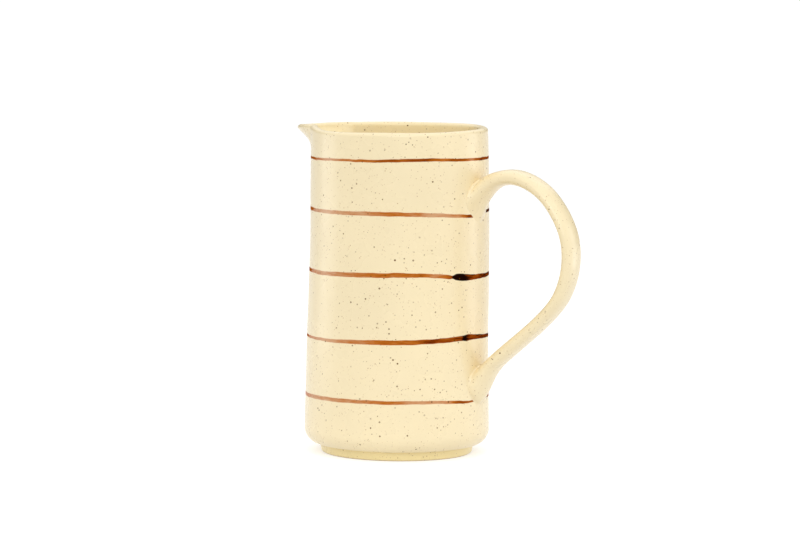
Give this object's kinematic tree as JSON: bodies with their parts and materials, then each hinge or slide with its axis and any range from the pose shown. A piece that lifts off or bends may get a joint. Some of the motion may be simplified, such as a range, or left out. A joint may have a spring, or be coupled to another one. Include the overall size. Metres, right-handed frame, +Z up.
{
  "type": "serving jug",
  "caption": "Tall round stoneware serving jug with a drawn pouring beak, a looped strap handle and a turned foot ring, glazed cream with specks and brown painted bands.",
  "frame": {"origin": "on the table, in the middle of the space that the jug takes up; the axis of the round body stands 23.9 mm from it towards the beak", "axes": "+Z up along the body's axis, +X from the body towards the handle, -X towards the beak, +Y across; the jug is mirrored in the XZ plane"},
  "size_m": [0.1816, 0.1078, 0.19],
  "materials": {
    "glaze": "satin-gloss cream glaze with dark specks and hand-painted brown bands",
    "bare_clay": "cream glaze on the side of the foot and matt unglazed buff clay where it touches the table"
  },
  "bodies": {
    "root": {"jug_body": "glaze", "pouring_spout": "glaze", "foot_ring": "bare_clay", "handle": "glaze", "upper_root_leaf": "glaze", "lower_root_pad": "glaze"}
  },
  "joints": []
}
